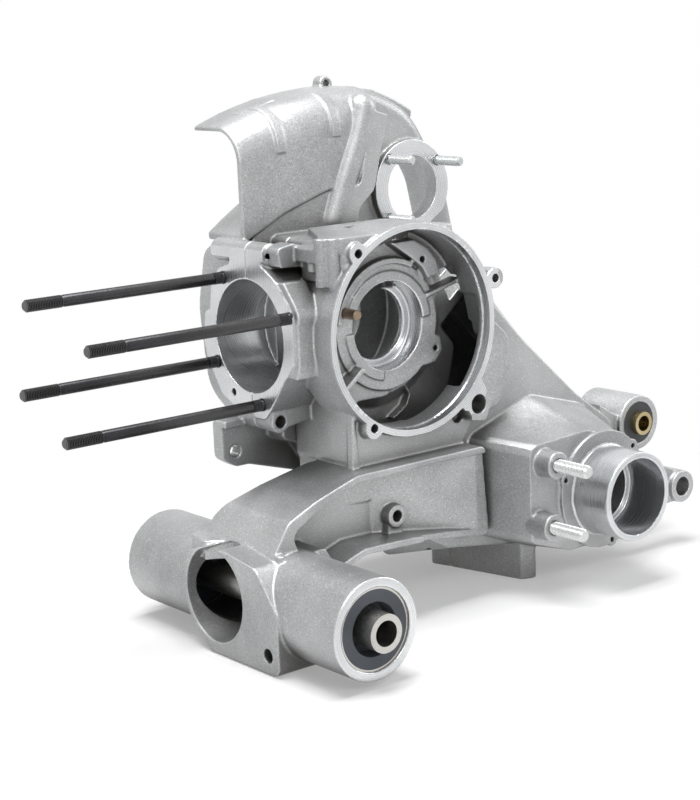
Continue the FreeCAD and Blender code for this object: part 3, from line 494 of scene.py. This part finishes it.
def plain_finish(name, skin, wear_and_shade, dark, light, roughness, bump=0.1, metallic=1.0, rubbed=None):
    """An even finish in two close shades: plated or blackened metal, or rubber."""
    material, tree, shader = new_material(name)
    texture = place_group(tree, skin)
    masks = place_group(tree, wear_and_shade)
    colour = blend_colours(tree, texture["Patches"], dark, light)
    speckle = blend_colours(tree, texture["Speckle"], grey(0.85), grey(1.08), 0.3, 0.7)
    colour = lay_over(tree, "MULTIPLY", colour, speckle, 0.6)
    if rubbed:
        colour = lay_wear_and_shade(tree, colour, masks, [("Edges", rubbed, 0.5)])
    fill_inputs(tree, shader, {
        "Base Color": colour,
        "Roughness": spread(tree, texture["Speckle"], *roughness),
        "Normal": relief(tree, texture["Height"], bump, SKIN_DEPTH),
        "Metallic": metallic,
    })
    return material


# Small forms

def even_normals(bm, verts):
    faces = {face for vert in verts for face in vert.link_faces}
    bmesh.ops.recalc_face_normals(bm, faces=list(faces))


def raise_faces(bm, faces, step):
    """Pulls a solid out of flat faces by a step, and returns its new points."""
    grown = bmesh.ops.extrude_face_region(bm, geom=faces, use_keep_orig=True)
    tops = [part for part in grown["geom"] if isinstance(part, bmesh.types.BMVert)]
    bmesh.ops.translate(bm, verts=tops, vec=step)
    return tops


def add_prism(bm, outline, start, end, axis):
    """A straight block that runs along X, Y or Z, with an outline in the other two directions."""
    along = "xyz".index(axis)
    step = Vector((0, 0, 0))
    step[along] = 1
    points = []
    for pair in outline:
        place = [*pair]
        place.insert(along, start)
        points.append(bm.verts.new(Vector(place) * MM))
    tops = raise_faces(bm, [bm.faces.new(points)], step * (end - start) * MM)
    even_normals(bm, points + tops)


def add_round(bm, centre, direction, length, radius):
    """A round boss that starts at centre and runs along direction."""
    turn = Vector((0, 0, 1)).rotation_difference(Vector(direction)).to_matrix().to_4x4()
    middle = Vector(centre) + Vector(direction).normalized() * length / 2
    bmesh.ops.create_cone(bm, cap_ends=True, segments=ROUND_STEPS, radius1=radius * MM, radius2=radius * MM,
                          depth=length * MM, matrix=Matrix.Translation(middle * MM) @ turn)


def add_ring(bm, centre, length, outer, inner):
    """A round eye along Y with its hole left open."""
    turn = Matrix.Translation(Vector(centre) * MM) @ Matrix.Rotation(math.radians(-90), 4, "X")
    edges = []
    for radius in (outer, inner):
        made = bmesh.ops.create_circle(bm, cap_ends=False, segments=ROUND_STEPS, radius=radius * MM,
                                       matrix=turn)
        edges += list({edge for vert in made["verts"] for edge in vert.link_edges})
    bridge = bmesh.ops.bridge_loops(bm, edges=edges)
    tops = raise_faces(bm, bridge["faces"], (0, length * MM, 0))
    even_normals(bm, [vert for edge in edges for vert in edge.verts] + tops)


def add_loft(bm, rings):
    """A closed block through matching rings of points."""
    loops = []
    for ring in rings:
        points = [bm.verts.new(Vector(point) * MM) for point in ring]
        loops.append((points, [bm.edges.new((a, b)) for a, b in zip(points, points[1:] + points[:1])]))
    for (_, first), (_, second) in zip(loops, loops[1:]):
        bmesh.ops.bridge_loops(bm, edges=first + second)
    bm.faces.new(loops[0][0])
    bm.faces.new(loops[-1][0])
    even_normals(bm, [vert for points, _ in loops for vert in points])


def add_capsule(bm, start, end, radius):
    """A round-ended rib between two points."""
    run = Vector(end) - Vector(start)
    add_round(bm, start, run, run.length, radius)
    for point in (start, end):
        bmesh.ops.create_icosphere(bm, subdivisions=3, radius=radius * MM,
                                   matrix=Matrix.Translation(Vector(point) * MM))


def arc(centre, radius, angles):
    """Points on a circle, at angles in degrees from the first direction towards the second."""
    turns = [math.radians(angle) for angle in angles]
    return [(centre[0] + radius * math.cos(turn), centre[1] + radius * math.sin(turn)) for turn in turns]


def add_roof_band(bm, centre, start, end):
    """A raised band over the duct's arched roof; centre is (y, z), start and end lie along X."""
    steps = 24
    angles = [60 + (185 - 60) * step / steps for step in range(steps + 1)]
    outer = arc(centre, 23.7, angles)
    inner = arc(centre, 21.3, angles)
    add_prism(bm, outer + inner[::-1], start, end, "x")


# What each casting has beyond its construction shape

def clutch_side_details(bm):
    mouth_pad = [(33, 33.5), (27, 33.5), (17, 21), (15.5, 15), (15.5, -13), (18, -20.5), (26, -20.5),
                 (24, 0), (26, 20)]
    add_prism(bm, mouth_pad, -72.6, -57, "x")
    stud_bulge = (-72.5, 22, 14.3)
    add_round(bm, stud_bulge, (1, 0, 0), 16, 7.7)
    pocket_wall = [(-23, 17.2), (-15, 14), (0, 9.9), (8, 7.7)]
    add_loft(bm, [[(x, y, -77), (x, 19.5, -77), (x, 19.5, -121), (x, y, -121)] for x, y in pocket_wall])
    upper_step = [(-96, 70), (-117, 66), (-121, 47), (-108, 38), (-100, 44)]
    add_prism(bm, upper_step, -120, -108.8, "z")
    lower_step = [(-108, 38), (-100, 44), (-97, 12), (-109, -12), (-112, -10)]
    add_prism(bm, lower_step, -120, -108.4, "z")
    rib_top, rib_foot = (-38, 62, -38), (-35, 62, -53)
    add_capsule(bm, rib_top, rib_foot, 2.2)


def clutch_side_cuts(bm):
    add_loft(bm, [[(x, ARM_MOUTH, top), (x, back, top), (x, back, low), (x, ARM_MOUTH, low)]
                  for x, back, top, low in ARM_POCKET])
    add_round(bm, (ARM_LUG[0], 8, ARM_LUG[1]), (0, 1, 0), 30, ARM_LUG_HOLE)


def clutch_side_lugs(bm):
    """Small forms that stand in the carved hollows, so they come after the carving."""
    add_ring(bm, (ARM_LUG[0], 7.5, ARM_LUG[1]), 12, 6.8, ARM_LUG_HOLE)
    lug_foot = [(-17.5, -113.5), (-6.5, -113.5), (-8, -121), (-18, -121)]
    add_prism(bm, lug_foot, 9.5, 19, "y")
    chamber_fold = [(18, -37), (22.5, -45), (19, -52), (9, -58)]
    add_loft(bm, [[(x - 2, 31, z), (x + 2, 36, z), (x + 2, 42, z), (x - 2, 42, z)] for x, z in chamber_fold])


def flywheel_side_details(bm):
    add_roof_band(bm, (95, 103), -39, -32.5)
    add_roof_band(bm, (95, 109.7), 2, 8.5)
    scroll_wall = arc(CRANK, SCROLL_RADIUS, range(80, 151, 5)) + [(-61, 34), (13, 34)]
    add_prism(bm, scroll_wall, 75, STARTER_FLANGE, "y")
    for start, end in zip(DUCT_COLUMN, DUCT_COLUMN[1:]):
        add_capsule(bm, start, end, 9.2)
    add_round(bm, (-67.5, 60.5, 47.5), (0, 1, 0), 34.5, 6.5)


def flywheel_side_cuts(bm):
    bolt_hole = (-67.5, 60, 47.5)
    add_round(bm, bolt_hole, (0, 1, 0), 30, 3.2)


# Castings: the construction shape with the soft edges of a die casting

def edit_mesh(mesh, *changes):
    bm = bmesh.new()
    bm.from_mesh(mesh)
    for change in changes:
        change(bm)
    bm.to_mesh(mesh)
    bm.free()


def join_seams(bm):
    bmesh.ops.remove_doubles(bm, verts=bm.verts, dist=SEAM_GAP)


def bake_modifiers(piece):
    graph = bpy.context.evaluated_depsgraph_get()
    mesh = bpy.data.meshes.new_from_object(piece.evaluated_get(graph), depsgraph=graph)
    piece.modifiers.clear()
    old = piece.data
    piece.data = mesh
    bpy.data.meshes.remove(old)


def carve(piece, cuts):
    bm = bmesh.new()
    cuts(bm)
    knife = object_from(bm, piece.name + "_cutter")
    hollows = piece.modifiers.new("carved_hollows", "BOOLEAN")
    hollows.operation = "DIFFERENCE"
    hollows.solver = "EXACT"
    hollows.use_self = True
    hollows.object = knife
    bake_modifiers(piece)
    bpy.data.objects.remove(knife)


def melt_together(piece):
    """One skin over the solid and its small forms, softened, and thinned where it is too fine."""
    remesh = piece.modifiers.new("cast_surface", "REMESH")
    remesh.mode = "VOXEL"
    remesh.voxel_size = CASTING_VOXEL * 1
    soften = piece.modifiers.new("soft_edges", "SMOOTH")
    soften.factor = 0.5
    soften.iterations = SOFTENING_STEPS
    bake_modifiers(piece)
    count = len(piece.data.polygons) * 2
    if count > CASTING_TRIANGLES:
        thin = piece.modifiers.new("thin_out", "DECIMATE")
        thin.ratio = CASTING_TRIANGLES / count
        bake_modifiers(piece)


def on_circle(a, b, centre, radius):
    """The point (a, b) moved straight to or from a centre until it lies on the circle round it."""
    reach = math.hypot(a - centre[0], b - centre[1])
    return centre[0] + (a - centre[0]) * radius / reach, centre[1] + (b - centre[1]) * radius / reach


def true_up(mesh):
    """Puts the points of turned bores back on their radius and those of cut faces on their plane."""
    for vert in mesh.vertices:
        x, y, z = vert.co / MM
        for centre, radius, low, high in BORES_ALONG_Y:
            reach = math.hypot(x - centre[0], z - centre[1])
            if low < y < high and abs(reach - radius) < TRUE_REACH:
                x, z = on_circle(x, z, centre, radius)
        for centre, inner, outer, plane in FACES_ACROSS_Y:
            reach = math.hypot(x - centre[0], z - centre[1])
            if abs(y - plane) < TRUE_REACH and inner - 1 < reach < outer + 1:
                y = plane
        reach = math.hypot(y - CYLINDER_MIDDLE[0], z - CYLINDER_MIDDLE[1])
        if SPIGOT_SPAN[0] < x < SPIGOT_SPAN[1] and abs(reach - SPIGOT_BORE) < TRUE_REACH:
            y, z = on_circle(y, z, CYLINDER_MIDDLE, SPIGOT_BORE)
        if abs(x - CYLINDER_FACE) < TRUE_REACH and reach < CYLINDER_PAD:
            x = CYLINDER_FACE
        vert.co = (x * MM, y * MM, z * MM)


def face_finish(place, normal):
    """Which machined finish a face of a casting has, or the cast skin where it was never cut."""
    x, y, z = place
    crank = math.hypot(x - CRANK[0], z - CRANK[1])
    cover_face = abs(y) < FACE_REACH and normal.y < -FACING
    clutch_bore = y > -1 and abs(crank - CLUTCH_BORE) < BORE_REACH
    if y < COVER_DEPTH and crank < COVER_RIM and (cover_face or clutch_bore):
        return CLUTCH_RIM
    if BEARING_SPAN[0] < y < BEARING_SPAN[1] and crank < BEARING_LIP:
        return CLUTCH_RIM
    if abs(x - CYLINDER_FACE) < FACE_REACH and normal.x < -FACING:
        return CYLINDER_CUT
    spigot = math.hypot(y - CYLINDER_MIDDLE[0], z - CYLINDER_MIDDLE[1])
    if SPIGOT_FINISH[0] < x < SPIGOT_FINISH[1] and abs(spigot - SPIGOT_BORE) < BORE_REACH:
        return CYLINDER_CUT
    if y < HUB_ROOT and math.hypot(x - HUB[0], z - HUB[1]) < HUB_FACE:
        return HUB_CUT
    past_tube_end = y < TUBE_ENDS[0] or y > TUBE_ENDS[1]
    if past_tube_end and math.hypot(x - TUBE[0], z - TUBE[1]) < TUBE_FACE:
        return TUBE_CUT
    flange = abs(y - STARTER_FLANGE) < FLANGE_REACH and normal.y < -FACING
    if flange and math.hypot(x - STARTER[0], z - STARTER[1]) < STARTER_RIM:
        return STARTER_CUT
    return CAST_SKIN


def lay_finishes(piece, finishes):
    piece.data.materials.clear()
    for material in finishes:
        piece.data.materials.append(material)
    for face in piece.data.polygons:
        face.use_smooth = True
        face.material_index = face_finish(face.center / MM, face.normal)
    normals = piece.modifiers.new("even_normals", "WEIGHTED_NORMAL")
    normals.keep_sharp = False
    bake_modifiers(piece)


def finished_casting(name, source, finishes, details, cuts, lugs=None):
    """The CAD solid and its small forms as one casting, with its cut faces made true again."""
    piece = bpy.data.objects.new(name, NODES[source].data.copy())
    bpy.context.scene.collection.objects.link(piece)
    edit_mesh(piece.data, join_seams, details)
    carve(piece, cuts)
    if lugs:
        edit_mesh(piece.data, lugs)
    melt_together(piece)
    true_up(piece.data)
    lay_finishes(piece, finishes)
    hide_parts(source)
    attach(piece, "root")


# Studs with their threads

def lathe(name, profile, place, direction):
    """A turned piece from (along, radius) points, closed on its own axis."""
    bm = bmesh.new()
    points = [bm.verts.new((radius * MM, 0, along * MM)) for along, radius in profile]
    edges = [bm.edges.new(pair) for pair in zip(points, points[1:])]
    bmesh.ops.spin(bm, geom=points + edges, cent=(0, 0, 0), axis=(0, 0, 1), angle=2 * math.pi,
                   steps=ROUND_STEPS, use_merge=True, use_duplicate=False)
    bmesh.ops.remove_doubles(bm, verts=bm.verts, dist=0.002 * MM)
    turn = Vector((0, 0, 1)).rotation_difference(Vector(direction)).to_matrix().to_4x4()
    bmesh.ops.transform(bm, matrix=Matrix.Translation(Vector(place) * MM) @ turn, verts=bm.verts)
    bmesh.ops.recalc_face_normals(bm, faces=bm.faces)
    piece = object_from(bm, name)
    for face in piece.data.polygons:
        face.use_smooth = True
    edge = piece.modifiers.new("crisp_edges", "EDGE_SPLIT")
    edge.split_angle = math.radians(CRISP_ANGLE)
    return piece


def thread(start, end, crest, root, pitch):
    """Zig-zag profile of a thread from start to end along its axis."""
    points = []
    along = start
    while along < end - pitch:
        points += [(along, root), (along + pitch * 0.4, crest), (along + pitch * 0.6, crest)]
        along += pitch
    return points + [(along, root)]


def stud_span(source, along):
    """The free end of a stud and its length, in millimetres; along is the number of its direction."""
    low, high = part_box(source)
    tip = (Vector(low) + Vector(high)) / 2 / MM
    tip[along] = low[along] / MM
    return tip, (high[along] - low[along]) / MM


def dress(piece, source, material):
    piece.data.materials.append(material)
    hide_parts(source)
    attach(piece, "root")


def cylinder_studs(material):
    """From the free end: a thread, a plain shank, the relief groove and the thread next to the case."""
    for source in CYLINDER_STUDS:
        tip, length = stud_span(source, 0)
        profile = [(0, 0), (0, STUD_TIP), (0.9, STUD_GROOVE)]
        profile += thread(1.0, 24, STUD_CREST, STUD_ROOT, STUD_PITCH)
        profile += [(24.4, STUD_SHANK), (122, STUD_SHANK), (122.3, STUD_GROOVE), (123.3, STUD_GROOVE),
                    (123.6, STUD_CREST)]
        profile += thread(124.0, 130, STUD_CREST, STUD_ROOT, STUD_PITCH)
        profile += [(130.2, STUD_SHANK), (length, STUD_SHANK), (length, 0)]
        piece = lathe("threaded_" + source, profile, tip, (1, 0, 0))
        dress(piece, source, material)


def short_studs(names, radius, pitch, material):
    """Studs with one thread, which ends a little before the case that holds them."""
    shank = radius - 0.1
    for source in names:
        tip, length = stud_span(source, 1)
        profile = [(0, 0), (0, radius - 1.0), (0.8, radius - 0.2)]
        profile += thread(1.0, length - 10, radius, radius - SHORT_THREAD_DEPTH, pitch)
        profile += [(length - 9.6, shank), (length, shank), (length, 0)]
        piece = lathe("threaded_" + source, profile, tip, (0, 1, 0))
        dress(piece, source, material)


def paint_nodes(names, material):
    for name in names:
        data = NODES[name].data
        data.materials.clear()
        data.materials.append(material)


def axis_place(centre):
    """The (x, z) of an axis along Y as a point in metres."""
    return (centre[0] * MM, 0, centre[1] * MM)


add_camera()
add_floor()
set_world()
light_part()

skin = cast_skin_group()
wear_and_shade = wear_and_painted_shade_group()
turning = turning_marks_group()

# The cylinder face is milled flat: its rings are wide arcs round a centre far in front of it
milling_centre = (-0.4, 0.0605, 0.0)
casting_finishes = [
    cast_aluminium(skin, wear_and_shade),
    machined_aluminium("machined_clutch_rim", skin, wear_and_shade, turning, axis_place(CRANK)),
    machined_aluminium("machined_cylinder_face", skin, wear_and_shade, turning, milling_centre, 3000.0),
    machined_aluminium("machined_hub", skin, wear_and_shade, turning, axis_place(HUB)),
    machined_aluminium("machined_tube_end", skin, wear_and_shade, turning, axis_place(TUBE)),
    machined_aluminium("machined_starter_face", skin, wear_and_shade, turning, axis_place(STARTER)),
]
black = plain_finish("black_oxide", skin, wear_and_shade, (0.03, 0.031, 0.034), (0.055, 0.055, 0.06), (0.25, 0.38),
                     rubbed=(0.22, 0.21, 0.2))
zinc = plain_finish("pale_zinc", skin, wear_and_shade, (0.56, 0.58, 0.58), (0.72, 0.73, 0.72), (0.2, 0.34))
steel = plain_finish("plain_steel", skin, wear_and_shade, (0.50, 0.49, 0.46), (0.62, 0.61, 0.58), (0.26, 0.38))
yellow = plain_finish("yellow_zinc", skin, wear_and_shade, (0.42, 0.34, 0.18), (0.66, 0.56, 0.34), (0.22, 0.36))
bronze = plain_finish("brown_pin", skin, wear_and_shade, (0.24, 0.18, 0.13), (0.40, 0.31, 0.23), (0.3, 0.42))
rubber = plain_finish("grey_rubber", skin, wear_and_shade, (0.05, 0.058, 0.07), (0.085, 0.095, 0.11), (0.5, 0.62),
                      bump=0.25, metallic=0.0)
dark_rubber = plain_finish("dark_rubber", skin, wear_and_shade, (0.04, 0.045, 0.05), (0.07, 0.075, 0.08), (0.5, 0.62),
                           bump=0.25, metallic=0.0)

finished_casting("clutch_side_casting", "clutch_side_case", casting_finishes,
                 clutch_side_details, clutch_side_cuts, clutch_side_lugs)
finished_casting("flywheel_side_casting", "flywheel_side_case", casting_finishes,
                 flywheel_side_details, flywheel_side_cuts)
cylinder_studs(black)
short_studs(["starter_stud_1", "starter_stud_2", "starter_stud_3"], 3.0, 1.0, zinc)
short_studs(["brake_stud_1", "brake_stud_2"], 4.0, 1.25, zinc)
paint_nodes(["bush_outer_sleeve_near", "bush_outer_sleeve_far"], steel)
paint_nodes(["bush_inner_sleeve_near", "bush_inner_sleeve_far", "pivot_spacer_tube"], steel)
paint_nodes(["joint_dowel_1", "joint_dowel_2"], steel)
paint_nodes(["bush_rubber_near", "bush_rubber_far"], rubber)
paint_nodes(["shock_rubber"], dark_rubber)
paint_nodes(["shock_sleeve"], yellow)
paint_nodes(["locating_pin"], bronze)
